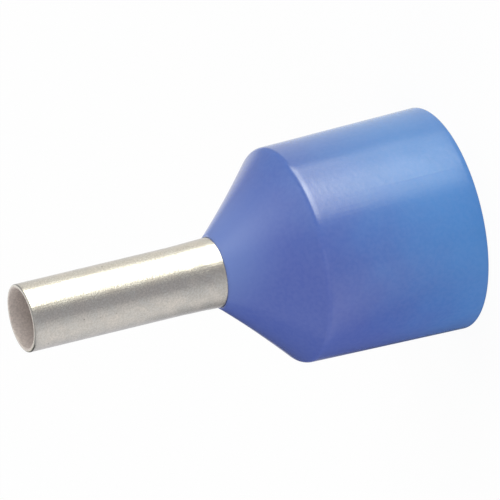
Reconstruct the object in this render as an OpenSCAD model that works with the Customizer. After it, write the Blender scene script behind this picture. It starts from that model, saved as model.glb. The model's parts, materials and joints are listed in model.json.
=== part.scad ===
// Insulated wire ferrule with an oversize collar, for a 2.5 mm2 stranded conductor in a thick cable.
// Two pieces: a thin tinned-copper sleeve, and a moulded plastic collar that the sleeve is flared into.
// It stands on the collar's open mouth: Z runs along the axis from the mouth at Z = 0 to the sleeve's tip.
// All sizes are in millimetres.

/* [Metal sleeve] */
// Outer diameter of the sleeve
sleeve_d = 2.65; // [2.3:0.05:3.4]
// Wall thickness of the sleeve
sleeve_wall = 0.15; // [0.1:0.01:0.22]
// Length of sleeve that stands out of the collar
sleeve_len = 8; // [5:0.5:18]
// Rounding on the outer edge of the cut tip
tip_round = 0.06; // [0.02:0.01:0.07]
// Rounding on the inner edge of the cut tip
tip_round_in = 0.03; // [0.01:0.01:0.03]
// How much the sleeve's radius has grown where it enters the collar
neck_rise = 0.05; // [0.01:0.01:0.12]
// Length over which the sleeve widens before it enters the collar
neck_len = 1.6; // [0.5:0.1:3]

/* [Flared root] */
// Straight length of the flare inside the collar, measured along its slope
flare_len = 0.7; // [0.3:0.05:1]
// Bend radius on the side of the flare that seats on the plastic
flare_bend = 0.25; // [0.1:0.05:0.4]

/* [Collar outside] */
// Length of the skirt, from the mouth to the shoulder
skirt_len = 6.65; // [5:0.05:9]
// Length of the conical nose, from the shoulder to the sleeve
nose_len = 2.95; // [2.4:0.05:4]
// Skirt wall at the mouth
mouth_wall = 0.63; // [0.45:0.01:0.8]
// Skirt wall at the shoulder
shoulder_wall = 0.48; // [0.35:0.01:0.6]
// Wall of the conical nose
nose_wall = 0.8; // [0.6:0.05:1]
// Width of the flat ring that the nose ends in, around the sleeve
nose_land = 0.04; // [0.02:0.01:0.1]
// How far the flank of the nose is hollowed between its ends
flank_sag = 0.05; // [0.01:0.01:0.1]
// Rounding of the shoulder
shoulder_round = 0.3; // [0.1:0.05:0.6]
// Rounding on the outer edge of the mouth
rim_round = 0.06; // [0.02:0.01:0.15]

/* [Collar inside] */
// Diameter of the bore that takes the cable's insulation
bore_d = 7.5; // [6.4:0.1:9]
// Radial width of the lead-in chamfer at the mouth
lead_in = 0.22; // [0.1:0.01:0.3]
// Depth of the lead-in chamfer
lead_in_len = 0.4; // [0.2:0.05:0.8]
// Blend between the bore and the funnel
funnel_blend = 0.5; // [0.2:0.1:1]

/* [Hidden] */
$fn = 96;

// Straight steps in each rounded corner, and in the flank of the nose
round_steps = 6;
flank_steps = 8;

sleeve_r = sleeve_d / 2;
neck_r = sleeve_r + neck_rise;
nose_r = neck_r + nose_land;
bore_r = bore_d / 2;
mouth_r = bore_r + mouth_wall;
shoulder_r = bore_r + shoulder_wall;
collar_len = skirt_len + nose_len;
tip_z = collar_len + sleeve_len;

// Corners of the nose's flank in the plane of the profile, as [radius, height]
nose_edge = [nose_r, collar_len];
shoulder_edge = [shoulder_r, skirt_len];

// The flare and the funnel slope as the nose does. down_slope runs along the slope
// towards the mouth, and inward points square to it, into the collar.
slope = atan2(shoulder_r - nose_r, nose_len);
down_slope = [sin(slope), -cos(slope)];
inward = [-cos(slope), -sin(slope)];

// The funnel and the inside of the flare lie on one line, and the sleeve's wall lies behind it
funnel_line = nose_edge + nose_wall * inward;
seat_line = funnel_line - sleeve_wall * inward;

// Point of a sloping line, given by one of its points, that lies at radius r
function at_radius(p, r) = [r, p.y - (r - p.x) / tan(slope)];

// Corners of the flare: where each side leaves the straight sleeve, and the cut rim
flare_corner_in = at_radius(funnel_line, neck_r - sleeve_wall);
flare_corner_out = at_radius(seat_line, neck_r);
// The bend takes up this much of the slope before the straight part of the flare starts
bend_run = (flare_bend + sleeve_wall) * tan(slope / 2);
rim_in = flare_corner_in + (bend_run + flare_len) * down_slope;
rim_out = rim_in - sleeve_wall * inward;
funnel_foot = at_radius(funnel_line, bore_r);

function unit(v) = v / norm(v);

// Arc of radius r that rounds the corner b between the directions to a and to c
function corner_arc(a, b, c, r) =
    let (u = unit(a - b),
         v = unit(c - b),
         half = acos(u * v) / 2,
         centre = b + unit(u + v) * r / sin(half),
         from = b + u * r / tan(half) - centre,
         to = b + v * r / tan(half) - centre,
         turn = acos(from * to / (r * r)) * sign(cross(from, to)),
         start = atan2(from.y, from.x))
    [for (i = [0 : round_steps])
        let (angle = start + turn * i / round_steps)
        centre + r * [cos(angle), sin(angle)]];

// Closed outline from corners given as [radius, height, rounding]
function rounded(corners) =
    let (n = len(corners))
    [for (i = [0 : n - 1])
        let (b = [corners[i].x, corners[i].y],
             a = [corners[(i + n - 1) % n].x, corners[(i + n - 1) % n].y],
             c = [corners[(i + 1) % n].x, corners[(i + 1) % n].y])
        each (corners[i].z > 0 ? corner_arc(a, b, c, corners[i].z) : [b])];

// Points between the shoulder and the nose's edge, on a shallow curve that bows inward
flank = [for (i = [1 : flank_steps - 1])
    let (t = i / flank_steps,
         p = shoulder_edge + t * (nose_edge - shoulder_edge) + 4 * flank_sag * t * (1 - t) * inward)
    [p.x, p.y, 0]];

module metal_sleeve() {
    color("gainsboro")
        rotate_extrude()
            polygon(rounded([
                [sleeve_r - sleeve_wall, tip_z, tip_round_in],
                [sleeve_r, tip_z, tip_round],
                [sleeve_r, collar_len + neck_len, 0],
                [neck_r, collar_len, 0],
                [flare_corner_out.x, flare_corner_out.y, flare_bend],
                [rim_out.x, rim_out.y, 0],
                [rim_in.x, rim_in.y, 0],
                [flare_corner_in.x, flare_corner_in.y, flare_bend + sleeve_wall],
                [neck_r - sleeve_wall, collar_len, 0],
                [sleeve_r - sleeve_wall, collar_len + neck_len, 0]
            ]));
}

module insulating_collar() {
    color("royalblue")
        rotate_extrude()
            polygon(rounded([
                [bore_r + lead_in, 0, 0],
                [mouth_r, 0, rim_round],
                [shoulder_r, skirt_len, shoulder_round],
                each flank,
                [nose_r, collar_len, 0],
                [neck_r, collar_len, 0],
                [flare_corner_out.x, flare_corner_out.y, flare_bend],
                [rim_out.x, rim_out.y, 0],
                [rim_in.x, rim_in.y, 0],
                [funnel_foot.x, funnel_foot.y, funnel_blend],
                [bore_r, lead_in_len, 0]
            ]));
}

metal_sleeve();
insulating_collar();
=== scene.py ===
"""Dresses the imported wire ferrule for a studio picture.

The ferrule stands on its collar's mouth: the axis is Z, from the mouth at Z = 0 up to the
sleeve's tip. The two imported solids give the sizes, and each is replaced by a finer piece with its
own finish. Outlines are worked out in millimetres and turned into meshes in metres.
"""

from __future__ import annotations

import json
import logging
import math
from collections.abc import Iterable
from dataclasses import dataclass
from enum import Enum

import bmesh
import bpy
from mathutils import Euler, Matrix, Vector

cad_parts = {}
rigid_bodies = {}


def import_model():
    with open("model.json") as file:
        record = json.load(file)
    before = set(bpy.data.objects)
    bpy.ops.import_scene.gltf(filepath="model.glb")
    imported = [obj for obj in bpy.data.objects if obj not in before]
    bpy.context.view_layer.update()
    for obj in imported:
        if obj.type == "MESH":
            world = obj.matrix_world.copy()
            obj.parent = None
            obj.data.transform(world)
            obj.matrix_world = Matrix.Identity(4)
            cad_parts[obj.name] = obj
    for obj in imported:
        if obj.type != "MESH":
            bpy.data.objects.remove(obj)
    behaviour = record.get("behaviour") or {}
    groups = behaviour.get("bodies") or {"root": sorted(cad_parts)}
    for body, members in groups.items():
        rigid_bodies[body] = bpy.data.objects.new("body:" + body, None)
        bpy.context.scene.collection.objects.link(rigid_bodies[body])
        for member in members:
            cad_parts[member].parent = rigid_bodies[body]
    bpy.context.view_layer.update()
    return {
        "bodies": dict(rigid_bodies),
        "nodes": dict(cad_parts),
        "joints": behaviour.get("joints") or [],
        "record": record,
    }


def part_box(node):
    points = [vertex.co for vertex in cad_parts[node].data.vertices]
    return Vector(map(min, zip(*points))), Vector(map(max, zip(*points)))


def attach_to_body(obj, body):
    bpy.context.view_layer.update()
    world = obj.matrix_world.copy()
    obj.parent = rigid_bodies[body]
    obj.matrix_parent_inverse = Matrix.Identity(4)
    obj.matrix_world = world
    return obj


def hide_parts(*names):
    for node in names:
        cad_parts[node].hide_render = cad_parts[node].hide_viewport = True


LOG = logging.getLogger("wire_ferrule")
MM = 0.001
# How near two vertices are one, and how near a vertex is on a ring, in millimetres
MERGE_DISTANCE = 1e-5
RING_TOLERANCE = 1e-4
Z_AXIS = Vector((0.0, 0.0, 1.0))

Span = tuple[float, float]
Tone = tuple[float, float, float]
Colour = tuple[float, float, float, float]
FULL: Span = (0.0, 1.0)
NEUTRAL: Tone = (1.0, 1.0, 1.0)
BLACK: Colour = (0.0, 0.0, 0.0, 1.0)
WHITE: Colour = (1.0, 1.0, 1.0, 1.0)


class Slot(Enum):
    """The record's material slots."""

    TINNED_COPPER = "tinned_copper"
    BLUE_PLASTIC = "blue_plastic"


class Node(Enum):
    """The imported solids."""

    SLEEVE = "metal_sleeve"
    COLLAR = "insulating_collar"


class MathOp(Enum):
    """The Math node's operations that the finishes and the studio use."""

    MULTIPLY = "MULTIPLY"
    MULTIPLY_ADD = "MULTIPLY_ADD"
    MAXIMUM = "MAXIMUM"
    ABSOLUTE = "ABSOLUTE"
    ANGLE = "ARCTAN2"


class VectorOp(Enum):
    """The Vector Math node's operations that the finishes and the studio use."""

    ADD = "ADD"
    SCALE = "SCALE"
    DIRECTION = "NORMALIZE"
    LENGTH = "LENGTH"
    DOT = "DOT_PRODUCT"


def metres(span: Span) -> Span:
    """Returns a span in millimetres as one in metres."""
    return span[0] * MM, span[1] * MM


def radians(span: Span) -> Span:
    """Returns a span in degrees as one in radians."""
    return math.radians(span[0]), math.radians(span[1])


def bearing(azimuth: float) -> Vector:
    """Returns the level direction at an azimuth in degrees."""
    return Vector((math.cos(math.radians(azimuth)), math.sin(math.radians(azimuth)), 0.0))


def lit(level: float, tone: Tone = NEUTRAL) -> Colour:
    """Returns a tone at a level, as an opaque colour."""
    return (*(level * part for part in tone), 1.0)


@dataclass(frozen=True)
class FerruleSizes:
    """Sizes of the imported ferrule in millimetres, from its solids' boxes and its mounts."""

    sleeve_r: float
    conductor_r: float
    bore_r: float
    mouth_r: float
    root_r: float
    root_z: float
    collar_len: float
    tip_z: float
    neck_rise: float = 0.05

    @classmethod
    def from_frame(cls, frame: dict) -> FerruleSizes:
        """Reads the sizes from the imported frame.


        Returns:
            The sizes in millimetres.
        """
        mounts = {mount["name"]: mount for mount in frame["record"]["mounts"]}
        root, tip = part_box(Node.SLEEVE.value)
        _, collar_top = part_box(Node.COLLAR.value)
        return cls(
            sleeve_r=mounts["sleeve_outside"]["dims"]["r_mm"],
            conductor_r=mounts["conductor_bore"]["dims"]["r_mm"],
            bore_r=mounts["insulation_bore"]["dims"]["r_mm"],
            mouth_r=collar_top.x / MM,
            root_r=tip.x / MM,
            root_z=root.z / MM,
            collar_len=collar_top.z / MM,
            tip_z=tip.z / MM,
        )

    @property
    def neck_r(self) -> float:
        """The sleeve's radius where it enters the collar."""
        return self.sleeve_r + self.neck_rise


@dataclass(frozen=True)
class Corner:
    """A corner of a turned outline, in millimetres, with the radius that rounds it."""

    radius: float
    height: float
    rounding: float = 0.0

    def at(self) -> Vector:
        """Returns the corner as a point of the outline's plane."""
        return Vector((self.radius, self.height))


@dataclass
class Turning:
    """A piece turned about Z from a closed outline of corners."""

    corners: list[Corner]
    segments: int = 256
    arc_segments: int = 8
    ring_pitch: float = 0.16

    def build(self) -> bmesh.types.BMesh:
        """Turns the outline, rounds its corners and divides its long walls into rings.

        Returns:
            A closed bmesh in millimetres, with its normals pointing out.
        """
        bm = bmesh.new()
        verts = [bm.verts.new((c.radius, 0.0, c.height)) for c in self.corners]
        edges = [bm.edges.new((a, b)) for a, b in zip(verts, verts[1:] + verts[:1])]
        bmesh.ops.spin(
            bm,
            geom=verts + edges,
            cent=(0.0, 0.0, 0.0),
            axis=Z_AXIS,
            angle=math.tau,
            steps=self.segments,
            use_merge=True,
        )
        bmesh.ops.remove_doubles(bm, verts=bm.verts, dist=MERGE_DISTANCE)
        bmesh.ops.recalc_face_normals(bm, faces=bm.faces)
        self._round(bm)
        self._divide(bm)
        for face in bm.faces:
            face.smooth = True
        return bm

    def _round(self, bm: bmesh.types.BMesh) -> None:
        """Bevels the ring of edges at each corner that has a rounding.

        Args:
            bm: The turned mesh.
        """
        count = len(self.corners)
        for i, corner in enumerate(self.corners):
            if corner.rounding <= 0.0:
                continue
            before = (self.corners[i - 1].at() - corner.at()).normalized()
            after = (self.corners[(i + 1) % count].at() - corner.at()).normalized()
            half_turn = (math.pi - before.angle(after)) / 2
            bmesh.ops.bevel(
                bm,
                geom=ring_edges(bm, corner.at()),
                offset=corner.rounding * math.tan(half_turn),
                offset_type="OFFSET",
                segments=self.arc_segments,
                profile=0.5,
                affect="EDGES",
                material=-1,
            )

    def _divide(self, bm: bmesh.types.BMesh) -> None:
        """Cuts each wall that is longer than the ring pitch into rings.

        Args:
            bm: The turned mesh.
        """
        groups: dict[int, list[bmesh.types.BMEdge]] = {}
        for edge in bm.edges:
            low, high = (polar(v.co) for v in edge.verts)
            cuts = int((low - high).length / self.ring_pitch)
            if cuts > 0:
                groups.setdefault(cuts, []).append(edge)
        for cuts, edges in groups.items():
            bmesh.ops.subdivide_edges(bm, edges=edges, cuts=cuts, use_grid_fill=False)


def polar(point: Vector) -> Vector:
    """Returns a point's distance from the Z axis and its height."""
    return Vector((math.hypot(point.x, point.y), point.z))


def ring_edges(bm: bmesh.types.BMesh, ring: Vector) -> list[bmesh.types.BMEdge]:
    """Finds the edges of one ring of a turned mesh.

    Args:
        bm: The turned mesh.
        ring: The ring's radius and height.

    Returns:
        The edges with both ends on the ring.
    """
    return [
        edge
        for edge in bm.edges
        if all((polar(vert.co) - ring).length < RING_TOLERANCE for vert in edge.verts)
    ]


def height_at(point: Vector, radius: float, slope: float) -> float:
    """Returns the height at which a sloping wall through a point has this radius."""
    return point.y + (point.x - radius) / math.tan(slope)


def add_object(name: str, data: bpy.types.ID) -> bpy.types.Object:
    """Makes an object at the origin and links it to the scene.

    Args:
        name: The object's name.
        data: Its mesh, lamp or camera.

    Returns:
        The new object.
    """
    made = bpy.data.objects.new(name, data)
    bpy.context.scene.collection.objects.link(made)
    return made


def add_mesh(
    bm: bmesh.types.BMesh, name: str, material: bpy.types.Material
) -> bpy.types.Object:
    """Makes a mesh object from a bmesh in metres.

    Args:
        bm: The mesh, which is freed.
        name: The object's name.
        material: Its only material.

    Returns:
        The new object.
    """
    mesh = bpy.data.meshes.new(name)
    bm.to_mesh(mesh)
    bm.free()
    mesh.materials.append(material)
    return add_object(name, mesh)


def add_piece(
    bm: bmesh.types.BMesh, name: str, material: bpy.types.Material
) -> bpy.types.Object:
    """Makes a piece of the ferrule from a bmesh in millimetres, which is freed."""
    bmesh.ops.scale(bm, vec=(MM, MM, MM), verts=bm.verts)
    return add_mesh(bm, name, material)


def add_stage(
    bm: bmesh.types.BMesh, name: str, material: bpy.types.Material
) -> bpy.types.Object:
    """Makes a piece of the studio from a bmesh in metres.

    Args:
        bm: The mesh, which is freed.
        name: The piece's name.
        material: Its material.

    Returns:
        The new object.
    """
    made = add_mesh(bm, name, material)
    return made


class NodeSheet:
    """Short calls that place and join shader nodes in one tree."""

    def __init__(self, tree: bpy.types.NodeTree) -> None:
        """Empties a material's, a world's or a group's tree and starts on it."""
        self.tree = tree
        tree.nodes.clear()

    def add(self, kind: str, **settings: object) -> bpy.types.Node:
        """Adds a node and sets its properties.

        Args:
            kind: The node's type name.
            **settings: Properties of the node.

        Returns:
            The new node.
        """
        node = self.tree.nodes.new(kind)
        for name, value in settings.items():
            setattr(node, name, value)
        return node

    def feed(self, socket: bpy.types.NodeSocket, value: object) -> None:
        """Links an output to a socket, or sets the socket's own value.

        Args:
            socket: The input socket.
            value: An output socket, a number, a vector or a colour.
        """
        if isinstance(value, bpy.types.NodeSocket):
            self.tree.links.new(value, socket)
        else:
            socket.default_value = value

    def join(self, node: bpy.types.Node, *values: object) -> bpy.types.NodeSocket:
        """Feeds the inputs that a node's settings leave in use, in their order.

        Args:
            node: The node.
            *values: Its inputs, each an output socket, a number, a vector or a colour.

        Returns:
            The node's first output in use.
        """
        live = [socket for socket in node.inputs if socket.enabled]
        for socket, value in zip(live, values):
            self.feed(socket, value)
        return next(socket for socket in node.outputs if socket.enabled)

    def math(self, op: MathOp, *values: object) -> bpy.types.NodeSocket:
        """Returns the output of a new Math node on these values."""
        return self.join(self.add("ShaderNodeMath", operation=op.value), *values)

    def vector(self, op: VectorOp, *values: object) -> bpy.types.NodeSocket:
        """Returns the output of a new Vector Math node on these values."""
        return self.join(self.add("ShaderNodeVectorMath", operation=op.value), *values)

    def fade(
        self, value: object, span: Span, low: object = 0.0, high: object = 1.0
    ) -> bpy.types.NodeSocket:
        """Adds a smooth step from low to high, as the value runs through the span."""
        node = self.add("ShaderNodeMapRange", interpolation_type="SMOOTHSTEP")
        return self.join(node, value, *span, low, high)

    def mix(self, share: object, first: object, second: object) -> bpy.types.NodeSocket:
        """Returns a mix of two colours, with this share of the second."""
        return self.join(self.add("ShaderNodeMix", data_type="RGBA"), share, first, second)

    def noise(
        self, place: bpy.types.NodeSocket, scale: object, detail: float
    ) -> bpy.types.NodeSocket:
        """Adds a noise pattern.

        Args:
            place: Where the pattern is read.
            scale: How often it repeats in each unit of the place.
            detail: How many finer layers it has.

        Returns:
            The pattern, from 0 to 1.
        """
        node = self.add("ShaderNodeTexNoise")
        self.feed(node.inputs["Vector"], place)
        self.feed(node.inputs["Scale"], scale)
        self.feed(node.inputs["Detail"], detail)
        return node.outputs["Fac"]

    def relief(self, pattern: bpy.types.NodeSocket, depth: float) -> bpy.types.NodeSocket:
        """Turns a pattern into relief.

        Args:
            pattern: The height of each point, from 0 to about 1.
            depth: How deep the relief is, in millimetres.

        Returns:
            The bent normal.
        """
        node = self.add("ShaderNodeBump")
        self.feed(node.inputs["Strength"], 1.0)
        self.feed(node.inputs["Distance"], depth * MM)
        self.feed(node.inputs["Height"], pattern)
        return node.outputs["Normal"]

    def effect(
        self, group: bpy.types.NodeTree, given: dict[str, object]
    ) -> dict[str, bpy.types.NodeSocket]:
        """Places a node group.

        Args:
            group: The group.
            given: Its inputs by name.

        Returns:
            Its outputs by name.
        """
        node = self.add("ShaderNodeGroup", node_tree=group)
        for name, value in given.items():
            self.feed(node.inputs[name], value)
        return {socket.name: socket for socket in node.outputs}

    def coat(self, looks: dict[str, object]) -> None:
        """Ends a material in one Principled shader.

        Args:
            looks: The shader's inputs by name.
        """
        shader = self.add("ShaderNodeBsdfPrincipled")
        for name, value in looks.items():
            self.feed(shader.inputs[name], value)
        self.end(shader.outputs["BSDF"])

    def end(self, shader: bpy.types.NodeSocket, kind: str = "ShaderNodeOutputMaterial") -> None:
        """Links a shader to a new output node of this kind."""
        self.feed(self.add(kind).inputs["Surface"], shader)


def blank_material(name: str) -> tuple[bpy.types.Material, NodeSheet]:
    """Makes a material without nodes.

    Args:
        name: Its name.

    Returns:
        The material, and the sheet that its nodes go on.
    """
    made = bpy.data.materials.new(name)
    made.use_nodes = True
    return made, NodeSheet(made.node_tree)


def blank_group(name: str, numbers: Iterable[str], results: Iterable[str]) -> NodeSheet:
    """Makes a node group that reads a position and some numbers.

    Args:
        name: Its name.
        numbers: The names of its number inputs.
        results: The names of its outputs, each a number.

    Returns:
        The sheet that its nodes go on.
    """
    tree = bpy.data.node_groups.new(name, "ShaderNodeTree")
    face = tree.interface
    face.new_socket("Position", in_out="INPUT", socket_type="NodeSocketVector")
    for label in numbers:
        face.new_socket(label, in_out="INPUT", socket_type="NodeSocketFloat")
    for label in results:
        face.new_socket(label, in_out="OUTPUT", socket_type="NodeSocketFloat")
    return NodeSheet(tree)


@dataclass(frozen=True)
class TurnedPlace:
    """A point's place on a turned piece: its part square to the axis, and its height, in metres."""

    flat: bpy.types.NodeSocket
    height: bpy.types.NodeSocket

    @classmethod
    def read(cls, sheet: NodeSheet, position: bpy.types.NodeSocket) -> TurnedPlace:
        """Splits a position into its turned parts.

        Args:
            sheet: The sheet that takes the nodes.
            position: The object coordinates.

        Returns:
            The parts.
        """
        parts = sheet.add("ShaderNodeSeparateXYZ")
        sheet.feed(parts.inputs["Vector"], position)
        flat = sheet.add("ShaderNodeCombineXYZ")
        sheet.feed(flat.inputs["X"], parts.outputs["X"])
        sheet.feed(flat.inputs["Y"], parts.outputs["Y"])
        return cls(flat.outputs["Vector"], parts.outputs["Z"])

    def radius(self, sheet: NodeSheet) -> bpy.types.NodeSocket:
        """Adds the distance from the axis."""
        return sheet.vector(VectorOp.LENGTH, self.flat)

    def outward(self, sheet: NodeSheet) -> bpy.types.NodeSocket:
        """Adds the direction that points away from the axis."""
        return sheet.vector(VectorOp.DIRECTION, self.flat)


@dataclass(frozen=True)
class Grain:
    """Shared surface effect: a fine pebble, a broad mottle and sparse specks, each from 0 to 1.

    A speck fades out over speck_edge, in parts of its cell. The cells with a value above
    speck_pick have one.
    """

    name: str = "surface_grain"
    pebble_detail: float = 3.0
    mottle_detail: float = 4.0
    speck_edge: Span = (0.16, 0.06)
    speck_pick: Span = (0.70, 0.74)

    def group(self) -> bpy.types.NodeTree:
        """Builds the node group once.

        Returns:
            The group, with the inputs Position, Pebble Scale, Mottle Scale and Speck Scale.
        """
        tree = bpy.data.node_groups.get(self.name)
        if tree is not None:
            return tree
        scales = ("Pebble Scale", "Mottle Scale", "Speck Scale")
        sheet = blank_group(self.name, scales, ("Pebble", "Mottle", "Speck"))
        given = sheet.add("NodeGroupInput").outputs
        out = sheet.add("NodeGroupOutput").inputs
        for label, detail in (("Pebble", self.pebble_detail), ("Mottle", self.mottle_detail)):
            pattern = sheet.noise(given["Position"], given[f"{label} Scale"], detail)
            sheet.feed(out[label], pattern)
        cells = sheet.add("ShaderNodeTexVoronoi")
        sheet.feed(cells.inputs["Vector"], given["Position"])
        sheet.feed(cells.inputs["Scale"], given["Speck Scale"])
        dot = sheet.fade(cells.outputs["Distance"], self.speck_edge)
        chosen = sheet.fade(cells.outputs["Color"], self.speck_pick)
        sheet.feed(out["Speck"], sheet.math(MathOp.MULTIPLY, dot, chosen))
        return sheet.tree

    def place(
        self,
        sheet: NodeSheet,
        position: bpy.types.NodeSocket,
        pebbles: float,
        mottles: float,
        specks: float = 0.0,
    ) -> dict[str, bpy.types.NodeSocket]:
        """Places the group, with each scale counted per metre, and returns its outputs."""
        scales = {"Pebble Scale": pebbles, "Mottle Scale": mottles, "Speck Scale": specks}
        return sheet.effect(self.group(), {"Position": position, **scales})


@dataclass(frozen=True)
class DrawnLines:
    """Shared surface effect: fine lines along the axis, as drawing or a mould leaves them."""

    name: str = "drawn_lines"
    detail: float = 2.0

    def group(self) -> bpy.types.NodeTree:
        """Builds the node group once.

        Returns:
            The group, with the inputs Position, Around and Along, and the output Lines.
        """
        tree = bpy.data.node_groups.get(self.name)
        if tree is not None:
            return tree
        sheet = blank_group(self.name, ("Around", "Along"), ("Lines",))
        given = sheet.add("NodeGroupInput").outputs
        turned = TurnedPlace.read(sheet, given["Position"])
        spread = sheet.vector(VectorOp.SCALE, turned.outward(sheet), given["Around"])
        climb = sheet.add("ShaderNodeCombineXYZ")
        rise = sheet.math(MathOp.MULTIPLY, turned.height, given["Along"])
        sheet.feed(climb.inputs["Z"], rise)
        place = sheet.vector(VectorOp.ADD, spread, climb.outputs["Vector"])
        out = sheet.add("NodeGroupOutput").inputs
        sheet.feed(out["Lines"], sheet.noise(place, 1.0, self.detail))
        return sheet.tree

    def place(
        self, sheet: NodeSheet, position: bpy.types.NodeSocket, around: float, along: float
    ) -> bpy.types.NodeSocket:
        """Places the group, with lines per radian and breaks per metre, and returns the lines."""
        given = {"Position": position, "Around": around, "Along": along}
        return sheet.effect(self.group(), given)["Lines"]


@dataclass(frozen=True)
class TinnedCopper:
    """Satin tin plate: pebbled, faintly drawn and specked, and tarnished grey-brown in the bore.

    Radii and depths are in millimetres. Pebbles, mottles and specks are counted per metre, and
    drawn lines per radian and per metre. The spans of dulling, warming and polish are values of
    the grain.
    """

    wall_mid: float
    wall_blur: float = 0.02
    warm: Colour = (0.682, 0.641, 0.600, 1.0)
    cool: Colour = (0.652, 0.638, 0.616, 1.0)
    dull: Colour = (0.590, 0.565, 0.533, 1.0)
    speck: Colour = (0.20, 0.185, 0.17, 1.0)
    bore: Colour = (0.72, 0.65, 0.61, 1.0)
    tarnish: Colour = (0.59, 0.53, 0.50, 1.0)
    pebbles: float = 13000.0
    mottles: float = 1900.0
    specks: float = 3600.0
    speck_share: float = 0.75
    lines_around: float = 24.0
    lines_along: float = 700.0
    line_share: float = 0.6
    depth: float = 0.0044
    dulling: Span = (0.36, 0.64)
    warming: Span = (0.38, 0.62)
    polish: Span = (0.3, 0.7)
    roughness: Span = (0.20, 0.28)
    bore_roughness: float = 0.55
    bore_metallic: float = 0.4

    def material(self) -> bpy.types.Material:
        """Builds the material.

        Returns:
            The tin plate.
        """
        made, sheet = blank_material(Slot.TINNED_COPPER.value)
        position = sheet.add("ShaderNodeTexCoord").outputs["Object"]
        grain = Grain().place(sheet, position, self.pebbles, self.mottles, self.specks)
        lines = DrawnLines().place(sheet, position, self.lines_around, self.lines_along)
        wall = metres((self.wall_mid + self.wall_blur, self.wall_mid - self.wall_blur))
        inside = sheet.fade(TurnedPlace.read(sheet, position).radius(sheet), wall)
        fine = sheet.fade(grain["Pebble"], self.dulling)
        tint = sheet.mix(sheet.fade(grain["Mottle"], self.warming), self.warm, self.cool)
        dots = sheet.math(MathOp.MULTIPLY, grain["Speck"], self.speck_share)
        plate = sheet.mix(dots, sheet.mix(fine, tint, self.dull), self.speck)
        bare = sheet.mix(fine, self.bore, self.tarnish)
        rough = sheet.fade(grain["Mottle"], self.polish, *self.roughness)
        drawn = sheet.math(MathOp.MULTIPLY_ADD, lines, self.line_share, grain["Pebble"])
        sheet.coat(
            {
                "Base Color": sheet.mix(inside, plate, bare),
                "Metallic": sheet.fade(inside, FULL, 1.0, self.bore_metallic),
                "Roughness": sheet.fade(inside, FULL, rough, self.bore_roughness),
                "Normal": sheet.relief(drawn, self.depth),
            }
        )
        return made


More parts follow.
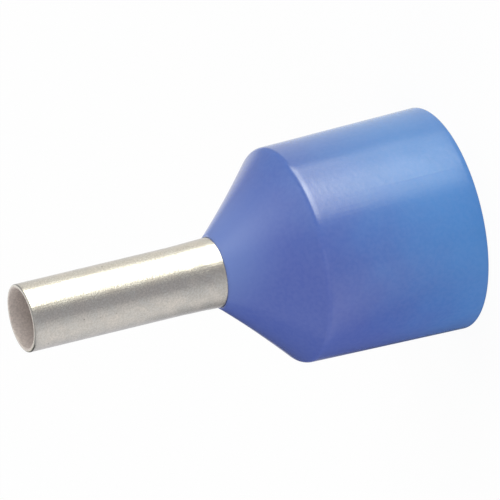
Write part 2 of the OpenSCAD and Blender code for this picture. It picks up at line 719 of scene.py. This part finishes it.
@dataclass(frozen=True)
class BluePlastic:
    """Glossy moulded plastic, with light and shade painted in: azure at the mouth, violet-blue at
    the nose.

    Heights, widths and depths are in millimetres, and azimuths in degrees. Pebbles and mottles
    are counted per metre, and the mould's lines per radian and per metre. The spans of clouding
    and polish are values of the grain.

    The painted light through the skirt (azure) turns to the painted shade on the nose (violet) over
    the heights in turning. The turn lies turn_lean higher on the lit side and lower on the shaded
    side, and the mottle lowers it by up to turn_stray. The pale edge of the nose, a painted
    highlight, fades in over lip_rise, measured from the collar's top, and lip_lean lower on the lit
    side.
    """

    collar_len: float
    # painted light: the skirt's lighter azure stands for light shining through its thin wall
    skirt: Colour = (0.071, 0.230, 0.555, 1.0)
    # painted shade: the nose's darker violet-blue stands for shade where the sleeve's flare backs
    # it
    nose: Colour = (0.070, 0.110, 0.39, 1.0)
    bloom: Colour = (0.42, 0.50, 0.72, 1.0)
    # painted highlight along the nose's edge, paler and wider on the lit side
    lip_highlight: Colour = (0.13, 0.20, 0.49, 1.0)
    # azimuth of the side that faces the key lamp, which the painted light leans towards
    lit_side: float = -31.0
    turning: Span = (-0.4, 7.7)
    turn_lean: float = 2.6
    turn_stray: float = 1.6
    lip_rise: Span = (-1.65, 0.9)
    lip_lean: float = 1.2
    pebbles: float = 6000.0
    mottles: float = 900.0
    lines_around: float = 60.0
    lines_along: float = 500.0
    line_share: float = 1.6
    depth: float = 0.0012
    clouding: Span = (0.32, 0.68)
    cloud_share: float = 0.03
    polish: Span = (0.3, 0.7)
    roughness: Span = (0.10, 0.17)
    ior: float = 1.62
    parting: float = -66.6
    parting_width: float = 0.11
    parting_share: float = 1.6
    parting_fade: Span = (2.6, 4.6)
    parting_rest: float = 0.25

    def material(self) -> bpy.types.Material:
        """Builds the material.

        Returns:
            The blue plastic.
        """
        made, sheet = blank_material(Slot.BLUE_PLASTIC.value)
        position = sheet.add("ShaderNodeTexCoord").outputs["Object"]
        turned = TurnedPlace.read(sheet, position)
        grain = Grain().place(sheet, position, self.pebbles, self.mottles)
        lines = DrawnLines().place(sheet, position, self.lines_around, self.lines_along)
        skin = sheet.math(MathOp.MULTIPLY_ADD, lines, self.line_share, grain["Pebble"])
        parting = self._parting(sheet, turned)
        skin = sheet.math(MathOp.MULTIPLY_ADD, parting, self.parting_share, skin)
        sheet.coat(
            {
                "Base Color": self._colour(sheet, turned, grain),
                "Roughness": sheet.fade(grain["Mottle"], self.polish, *self.roughness),
                "IOR": self.ior,
                "Normal": sheet.relief(skin, self.depth),
            }
        )
        return made

    def _colour(
        self, sheet: NodeSheet, turned: TurnedPlace, grain: dict[str, bpy.types.NodeSocket]
    ) -> bpy.types.NodeSocket:
        """Adds the plastic's colour with painted light: the painted light through the skirt
        (azure), the painted shade on the nose (violet-blue) and the painted highlight on the nose's
        edge, all leaning towards the lit side.

        Args:
            sheet: The material's sheet.
            turned: The place on the collar.
            grain: The surface grain.

        Returns:
            The colour.
        """
        # how far each point faces the lit side, which the painted light and highlight lean towards
        side = sheet.vector(VectorOp.DOT, turned.outward(sheet), bearing(self.lit_side))
        drift = sheet.math(MathOp.MULTIPLY_ADD, side, -self.turn_lean * MM, turned.height)
        drift = sheet.math(MathOp.MULTIPLY_ADD, grain["Mottle"], self.turn_stray * MM, drift)
        # painted light and shade: azure for light through the thin skirt, violet-blue for shade on
        # the nose
        body = sheet.mix(sheet.fade(drift, metres(self.turning)), self.skirt, self.nose)
        clouds = sheet.fade(grain["Pebble"], self.clouding, 0.0, self.cloud_share)
        # painted highlight on the nose's edge, reaching lower on the lit side
        climb = sheet.math(MathOp.MULTIPLY_ADD, side, self.lip_lean * MM, turned.height)
        start, end = self.lip_rise
        rise = metres((self.collar_len + start, self.collar_len + end))
        return sheet.mix(sheet.fade(climb, rise), sheet.mix(clouds, body, self.bloom), self.lip_highlight)

    def _parting(self, sheet: NodeSheet, turned: TurnedPlace) -> bpy.types.NodeSocket:
        """Adds the fine lines that the mould's halves leave along the skirt.

        Args:
            sheet: The material's sheet.
            turned: The place on the collar.

        Returns:
            A mask that is 1 on the two lines.
        """
        across = sheet.vector(VectorOp.DOT, turned.flat, bearing(self.parting - 90.0))
        away = sheet.math(MathOp.ABSOLUTE, across)
        line = sheet.fade(away, metres((self.parting_width, 0.0)))
        reach = sheet.fade(turned.height, metres(self.parting_fade), 1.0, self.parting_rest)
        return sheet.math(MathOp.MULTIPLY, line, reach)


@dataclass(frozen=True)
class Dent:
    """A shallow dent in the sleeve, in millimetres, at an azimuth in degrees.

    The width is how far from its middle a seventh of the depth is left.
    """

    azimuth: float
    height: float
    width: float
    depth: float

    def push(self, point: Vector) -> float:
        """Works out how far the dent pushes a point towards the axis.

        Args:
            point: A point of the wall, in millimetres.

        Returns:
            The push in millimetres.
        """
        radius, height = polar(point)
        turn = math.atan2(point.y, point.x) - math.radians(self.azimuth)
        around = radius * math.atan2(math.sin(turn), math.cos(turn))
        reach = ((height - self.height) ** 2 + around**2) / self.width**2
        return self.depth * math.exp(-2.0 * reach)


@dataclass
class MetalSleeve:
    """The tinned tube: a cut tip, a slight swell at the collar and a flared root inside it."""

    sizes: FerruleSizes
    slope: float
    tip_round: float = 0.06
    tip_round_in: float = 0.03
    neck_len: float = 1.6
    flare_bend: float = 0.25
    dent_start: float = 0.2
    dents: tuple[Dent, ...] = (
        Dent(azimuth=-104.0, height=10.15, width=0.30, depth=0.016),
        Dent(azimuth=-82.0, height=10.45, width=0.36, depth=0.014),
        Dent(azimuth=-123.0, height=9.9, width=0.42, depth=0.012),
        Dent(azimuth=-60.0, height=10.2, width=0.30, depth=0.010),
        Dent(azimuth=-96.0, height=11.3, width=0.50, depth=0.010),
        Dent(azimuth=40.0, height=10.4, width=0.40, depth=0.014),
        Dent(azimuth=118.0, height=10.9, width=0.45, depth=0.012),
        Dent(azimuth=-175.0, height=10.3, width=0.35, depth=0.014),
    )

    @property
    def wall(self) -> float:
        """The tube's wall."""
        return self.sizes.sleeve_r - self.sizes.conductor_r

    def root(self) -> list[Corner]:
        """Works out the part of the outline that the collar is moulded on.

        Returns:
            The corners, from the collar's end down to the inner edge of the flare's rim.
        """
        s = self.sizes
        rim_out = Vector((s.root_r, s.root_z + self.wall * math.sin(self.slope)))
        rim_in = Vector((s.root_r - self.wall * math.cos(self.slope), s.root_z))
        return [
            Corner(s.neck_r, s.collar_len),
            Corner(s.neck_r, height_at(rim_out, s.neck_r, self.slope), self.flare_bend),
            Corner(*rim_out),
            Corner(*rim_in),
        ]

    def corners(self) -> list[Corner]:
        """Works out the outline from the frame's sizes.

        Returns:
            The corners, from the tip's inner edge round by the outside.
        """
        s = self.sizes
        root = self.root()
        inner_r = s.neck_r - self.wall
        bend_z = height_at(root[-1].at(), inner_r, self.slope)
        return [
            Corner(s.conductor_r, s.tip_z, self.tip_round_in),
            Corner(s.sleeve_r, s.tip_z, self.tip_round),
            Corner(s.sleeve_r, s.collar_len + self.neck_len),
            *root,
            Corner(inner_r, bend_z, self.flare_bend + self.wall),
            Corner(inner_r, s.collar_len),
            Corner(s.conductor_r, s.collar_len + self.neck_len),
        ]

    def build(self, finish: TinnedCopper) -> bpy.types.Object:
        """Builds and dresses the sleeve, whose dents start clear of the collar.

        Args:
            finish: The tin plate.

        Returns:
            The finished piece.
        """
        bm = Turning(self.corners()).build()
        start = self.sizes.collar_len
        for vert in bm.verts:
            if vert.co.z > start:
                free = min(1.0, (vert.co.z - start) / self.dent_start)
                push = free * sum(dent.push(vert.co) for dent in self.dents)
                vert.co.xy *= 1.0 - push / math.hypot(vert.co.x, vert.co.y)
        return add_piece(bm, "tinned_sleeve", finish.material())


@dataclass
class InsulatingCollar:
    """The moulded shell: tapered skirt, rounded shoulder, conical nose, bore and funnel."""

    sizes: FerruleSizes
    skirt_len: float = 6.65
    shoulder_wall: float = 0.48
    nose_wall: float = 0.8
    nose_land: float = 0.04
    flank_sag: float = 0.05
    flank_steps: int = 8
    shoulder_round: float = 0.3
    rim_round: float = 0.06
    lead_in: float = 0.22
    lead_in_len: float = 0.4
    funnel_blend: float = 0.5

    @property
    def shoulder(self) -> Vector:
        """The shoulder's corner."""
        return Vector((self.sizes.bore_r + self.shoulder_wall, self.skirt_len))

    @property
    def nose(self) -> Vector:
        """The nose's outer edge."""
        return Vector((self.sizes.neck_r + self.nose_land, self.sizes.collar_len))

    @property
    def slope(self) -> float:
        """The nose's slope, from the axis, in radians."""
        run = self.shoulder - self.nose
        return math.atan2(run.x, -run.y)

    @property
    def inward(self) -> Vector:
        """The direction square to the nose's slope, into the collar."""
        return Vector((-math.cos(self.slope), -math.sin(self.slope)))

    def flank(self) -> list[Corner]:
        """Works out the hollow flank between the shoulder and the nose's edge.

        Returns:
            The corners between the two, which bow towards the inside.
        """
        made = []
        for i in range(1, self.flank_steps):
            t = i / self.flank_steps
            sag = 4 * self.flank_sag * t * (1 - t)
            made.append(Corner(*(self.shoulder.lerp(self.nose, t) + self.inward * sag)))
        return made

    def corners(self, sleeve: MetalSleeve) -> list[Corner]:
        """Works out the outline, which takes the sleeve's root as it lies.

        Args:
            sleeve: The sleeve that the collar holds.

        Returns:
            The corners, from the mouth's inner edge round by the outside.
        """
        s = self.sizes
        funnel = self.nose + self.inward * self.nose_wall
        return [
            Corner(s.bore_r + self.lead_in, 0.0),
            Corner(s.mouth_r, 0.0, self.rim_round),
            Corner(*self.shoulder, self.shoulder_round),
            *self.flank(),
            Corner(*self.nose),
            *sleeve.root(),
            Corner(s.bore_r, height_at(funnel, s.bore_r, self.slope), self.funnel_blend),
            Corner(s.bore_r, self.lead_in_len),
        ]

    def build(self, sleeve: MetalSleeve, finish: BluePlastic) -> bpy.types.Object:
        """Builds and dresses the collar, which is moulded on this sleeve."""
        bm = Turning(self.corners(sleeve)).build()
        return add_piece(bm, "plastic_collar", finish.material())


@dataclass(frozen=True)
class WallTone:
    """How bright and how warm the studio's wall looks in gloss, at one azimuth in degrees."""

    azimuth: float
    level: float
    tone: Tone = NEUTRAL


@dataclass(frozen=True)
class LightPanel:
    """A soft-edged panel that gloss reflects: where it starts and ends, about Z and in height.

    Azimuths are in degrees. Heights are a direction's Z part, from -1 to 1. Each span runs across
    one soft edge.
    """

    west: Span
    east: Span
    foot: Span
    head: Span
    level: float
    tone: Tone = (1.0, 0.99, 0.82)

    def light(
        self, sheet: NodeSheet, azimuth: bpy.types.NodeSocket, height: bpy.types.NodeSocket
    ) -> bpy.types.NodeSocket:
        """Adds the panel's light.

        Args:
            sheet: The world's sheet.
            azimuth: The direction's azimuth in radians.
            height: The direction's Z part.

        Returns:
            The panel's colour on the panel, and black beside it.
        """
        west = sheet.fade(azimuth, radians(self.west))
        east = sheet.fade(azimuth, radians(self.east), 1.0, 0.0)
        foot = sheet.fade(height, self.foot)
        head = sheet.fade(height, self.head, 1.0, 0.0)
        sides = sheet.math(MathOp.MULTIPLY, west, east)
        ends = sheet.math(MathOp.MULTIPLY, foot, head)
        window = sheet.math(MathOp.MULTIPLY, sides, ends)
        return sheet.mix(window, BLACK, lit(self.level, self.tone))


@dataclass(frozen=True)
class SoftLamp:
    """A square lamp that faces the ferrule, in degrees, metres and watts."""

    name: str
    azimuth: float
    elevation: float
    power: float
    distance: float = 0.4
    size: float = 0.3

    def hang(self) -> None:
        """Hangs the lamp, which gloss doesn't mirror."""
        data = bpy.data.lights.new(self.name, "AREA")
        data.size = self.size
        data.energy = self.power
        lamp = add_object(self.name, data)
        rise = math.radians(self.elevation)
        away = bearing(self.azimuth) * math.cos(rise) + Z_AXIS * math.sin(rise)
        lamp.location = away * self.distance
        lamp.rotation_euler = away.to_track_quat("Z", "Y").to_euler()
        lamp.visible_glossy = False


@dataclass(frozen=True)
class ShadeCard:
    """A dark card on the floor beside the skirt, which only gloss sees, in millimetres.

    It is an oval whose long axis lies at the azimuth, in degrees. Its darkness is even over the
    core and fades out to the reach, and cut times faster on the side away from the azimuth.
    """

    centre: Span = (-11.0, 4.1)
    azimuth: float = 120.0
    narrowing: float = 0.62
    cut: float = 1.4
    core: float = 9.0
    reach: float = 28.0
    height: float = 0.02
    shade: float = 0.1
    segments: int = 64

    def lay(self) -> None:
        """Lays the card."""
        bm = bmesh.new()
        bmesh.ops.create_circle(
            bm, cap_ends=True, segments=self.segments, radius=self.reach * MM
        )
        card = add_stage(bm, "shade_card", self._film())
        card.location = (*metres(self.centre), self.height * MM)
        card.rotation_euler = (0.0, 0.0, math.radians(self.azimuth))
        card.scale = (1.0, self.narrowing, 1.0)
        card.visible_camera = False
        card.visible_diffuse = False
        card.visible_transmission = False
        card.visible_shadow = False

    def _film(self) -> bpy.types.Material:
        """Builds the card's film.

        Returns:
            A film that is dark in the middle and clear at the edge.
        """
        made, sheet = blank_material("shade_film")
        place = sheet.add("ShaderNodeSeparateXYZ")
        position = sheet.add("ShaderNodeTexCoord").outputs["Object"]
        sheet.feed(place.inputs["Vector"], position)
        near = sheet.math(MathOp.MULTIPLY, place.outputs["X"], -self.cut)
        spot = sheet.add("ShaderNodeCombineXYZ")
        along = sheet.math(MathOp.MAXIMUM, place.outputs["X"], near)
        sheet.feed(spot.inputs["X"], along)
        sheet.feed(spot.inputs["Y"], place.outputs["Y"])
        away = sheet.vector(VectorOp.LENGTH, spot.outputs["Vector"])
        film = sheet.add("ShaderNodeBsdfTransparent")
        clear = sheet.fade(away, metres((self.core, self.reach)), self.shade, 1.0)
        sheet.feed(film.inputs["Color"], clear)
        sheet.end(film.outputs["BSDF"])
        return made


@dataclass
class Studio:
    """White surroundings, a pale floor, soft lamps, and what gloss reflects.

    Gloss sees the table below the horizon, the room above it, an even ceiling and the panels.
    Horizon and ceiling_edge are spans of a direction's Z part. The floor's half width is in
    metres, and its drop in millimetres.
    """

    floor_half: float = 1.0
    floor_drop: float = 0.01
    floor_colour: Colour = (0.85, 0.85, 0.85, 1.0)
    floor_white: float = 0.94
    ambient: float = 0.49
    ceiling: float = 0.45
    horizon: Span = (-0.33, -0.20)
    ceiling_edge: Span = (0.4, 0.65)
    top_level: float = 1.2
    table: tuple[WallTone, ...] = (
        WallTone(-180.0, 1.0, (1.0, 0.985, 0.96)),
        WallTone(-160.0, 0.98, (1.0, 0.98, 0.95)),
        WallTone(-140.0, 0.80),
        WallTone(-127.0, 0.68),
        WallTone(-117.0, 0.43, (1.0, 1.0, 1.04)),
        WallTone(-86.0, 0.43, (1.0, 1.0, 1.04)),
        WallTone(-74.0, 0.60, (1.0, 0.98, 0.92)),
        WallTone(-50.0, 0.88, (1.0, 0.98, 0.90)),
        WallTone(0.0, 1.06, (1.0, 0.98, 0.90)),
        WallTone(32.0, 1.03, (1.0, 0.975, 0.88)),
        WallTone(60.0, 0.90, (1.0, 0.98, 0.93)),
        WallTone(82.0, 0.93),
        WallTone(100.0, 0.76, (1.0, 1.0, 1.03)),
        WallTone(122.0, 0.74, (1.0, 1.0, 1.04)),
        WallTone(145.0, 0.90),
        WallTone(180.0, 1.0, (1.0, 0.985, 0.96)),
    )
    room: tuple[WallTone, ...] = (
        WallTone(-180.0, 0.60),
        WallTone(-110.0, 0.60),
        WallTone(-90.0, 0.45),
        WallTone(0.0, 0.45),
        WallTone(58.0, 0.38),
        WallTone(70.0, 0.86),
        WallTone(90.0, 0.86),
        WallTone(101.0, 0.08),
        WallTone(150.0, 0.08),
        WallTone(180.0, 0.60),
    )
    panels: tuple[LightPanel, ...] = (
        LightPanel(
            west=(-70.4, -50.4),
            east=(-1.8, 11.2),
            foot=(-0.37, -0.30),
            head=(-0.05, 0.3),
            level=4.6,
        ),
        LightPanel(
            west=(-54.0, -34.0),
            east=(-28.0, -8.0),
            foot=(-0.37, -0.30),
            head=(-0.05, 0.3),
            level=3.2,
        ),
        LightPanel(
            west=(-75.0, -5.0),
            east=(15.0, 60.0),
            foot=(0.5, 0.8),
            head=(0.95, 1.0),
            level=0.6,
        ),
        LightPanel(
            west=(56.0, 72.0),
            east=(106.0, 122.0),
            foot=(0.12, 0.24),
            head=(0.5, 0.65),
            level=0.5,
        ),
    )
    lamps: tuple[SoftLamp, ...] = (
        SoftLamp("front_lamp", azimuth=-114.0, elevation=20.0, power=0.60),
        SoftLamp("key_lamp", azimuth=-25.0, elevation=30.0, power=0.74),
        SoftLamp("back_lamp", azimuth=50.0, elevation=25.0, power=0.60),
        SoftLamp("side_lamp", azimuth=152.0, elevation=8.0, power=1.0),
    )

    def build(self) -> None:
        """Builds the world, the floor, the shade card and the lamps."""
        self._world()
        self._floor()
        ShadeCard().lay()
        for lamp in self.lamps:
            lamp.hang()

    def _world(self) -> None:
        """Makes a world that is white behind the object and holds what gloss reflects."""
        world = bpy.data.worlds.new("studio")
        bpy.context.scene.world = world
        world.use_nodes = True
        sheet = NodeSheet(world.node_tree)
        direction = sheet.add("ShaderNodeSeparateXYZ")
        way = sheet.add("ShaderNodeTexCoord").outputs["Generated"]
        sheet.feed(direction.inputs["Vector"], way)
        azimuth = sheet.math(MathOp.ANGLE, direction.outputs["Y"], direction.outputs["X"])
        height = direction.outputs["Z"]
        seen = self._surroundings(sheet, azimuth, height)
        for panel in self.panels:
            seen = sheet.vector(VectorOp.ADD, seen, panel.light(sheet, azimuth, height))
        rays = sheet.add("ShaderNodeLightPath").outputs
        clear = sheet.math(MathOp.MAXIMUM, rays["Is Camera Ray"], rays["Is Transmission Ray"])
        soft = sheet.mix(rays["Is Glossy Ray"], lit(self.ambient), seen)
        background = sheet.add("ShaderNodeBackground")
        sheet.feed(background.inputs["Color"], sheet.mix(clear, soft, WHITE))
        sheet.end(background.outputs["Background"], "ShaderNodeOutputWorld")

    def _surroundings(
        self, sheet: NodeSheet, azimuth: bpy.types.NodeSocket, height: bpy.types.NodeSocket
    ) -> bpy.types.NodeSocket:
        """Adds the table below the horizon, the room above it, and an even ceiling.

        Args:
            sheet: The world's sheet.
            azimuth: The direction's azimuth in radians.
            height: The direction's Z part.

        Returns:
            The colour seen in each direction.
        """
        place = sheet.math(MathOp.MULTIPLY_ADD, azimuth, 1.0 / math.tau, 0.5)
        table = self._ring(sheet, self.table, place)
        room = self._ring(sheet, self.room, place)
        around = sheet.mix(sheet.fade(height, self.horizon), table, room)
        return sheet.mix(sheet.fade(height, self.ceiling_edge), around, lit(self.ceiling))

    def _ring(
        self, sheet: NodeSheet, tones: tuple[WallTone, ...], place: bpy.types.NodeSocket
    ) -> bpy.types.NodeSocket:
        """Adds one ring of tones about Z.

        Args:
            sheet: The world's sheet.
            tones: The tones, by azimuth.
            place: The azimuth, from 0 to 1 round the ring.

        Returns:
            The ring's colour.
        """
        ramp = sheet.add("ShaderNodeValToRGB")
        stops = ramp.color_ramp.elements
        while len(stops) < len(tones):
            stops.new(0.5)
        for stop, wall in zip(stops, tones):
            stop.position = wall.azimuth / 360.0 + 0.5
            stop.color = lit(wall.level / self.top_level, wall.tone)
        sheet.feed(ramp.inputs["Fac"], place)
        return sheet.vector(VectorOp.SCALE, ramp.outputs["Color"], self.top_level)

    def _floor(self) -> None:
        """Lays the floor, which stays white behind the object and keeps its shadow."""
        made, sheet = blank_material("pale_floor")
        paint = sheet.add("ShaderNodeBsdfDiffuse")
        sheet.feed(paint.inputs["Color"], self.floor_colour)
        white = sheet.add("ShaderNodeEmission")
        rays = sheet.add("ShaderNodeLightPath").outputs
        share = sheet.math(MathOp.MULTIPLY, rays["Is Camera Ray"], self.floor_white)
        mixed = sheet.add("ShaderNodeMixShader")
        sheet.end(sheet.join(mixed, share, paint.outputs["BSDF"], white.outputs["Emission"]))
        bm = bmesh.new()
        bmesh.ops.create_grid(bm, x_segments=1, y_segments=1, size=self.floor_half)
        floor = add_stage(bm, "floor", made)
        floor.location.z = -self.floor_drop * MM
        floor.visible_glossy = False


@dataclass(frozen=True)
class ProductCamera:
    """A long lens above the sleeve's side, turned so that the ferrule lies across the picture.

    Angles are in degrees, the lens and its sensor in millimetres, and all else in metres.
    """

    elevation: float = 21.31
    roll: float = -103.50
    distance: float = 0.30263
    lens: float = 563.95
    sensor: float = 36.0
    mouth_right: float = 0.0072823
    mouth_up: float = 0.0012344
    clip_start: float = 0.01
    clip_end: float = 10.0

    def build(self) -> None:
        """Places the camera and makes it the scene's own."""
        data = bpy.data.cameras.new("camera")
        data.sensor_width = self.sensor
        data.lens = self.lens
        data.clip_start = self.clip_start
        data.clip_end = self.clip_end
        camera = add_object("camera", data)
        look = Euler((math.radians(90.0 - self.elevation), 0.0, 0.0)).to_matrix()
        turned = look @ Matrix.Rotation(math.radians(self.roll), 3, "Z")
        place = turned @ Vector((-self.mouth_right, -self.mouth_up, self.distance))
        camera.matrix_world = Matrix.Translation(place) @ turned.to_4x4()
        bpy.context.scene.camera = camera


def attach(piece: bpy.types.Object, node: Node) -> None:
    """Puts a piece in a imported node's place.

    Args:
        piece: The finished piece.
        node: The node that it stands for.
    """
    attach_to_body(piece, "root")
    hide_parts(node.value)
    LOG.info("%s: %d faces, stands for %s", piece.name, len(piece.data.polygons), node.value)


def main() -> None:
    """Builds the camera, the ferrule's two pieces and the studio."""
    logging.basicConfig(level=logging.INFO, format="%(name)s: %(message)s")
    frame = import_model()
    bpy.context.scene.view_settings.view_transform = "Standard"
    ProductCamera().build()
    sizes = FerruleSizes.from_frame(frame)
    collar = InsulatingCollar(sizes)
    sleeve = MetalSleeve(sizes, slope=collar.slope)
    tin = TinnedCopper(wall_mid=(sizes.sleeve_r + sizes.conductor_r) / 2)
    attach(sleeve.build(tin), Node.SLEEVE)
    blue = BluePlastic(collar_len=sizes.collar_len)
    attach(collar.build(sleeve, blue), Node.COLLAR)
    Studio().build()


if __name__ == "__main__":
    main()
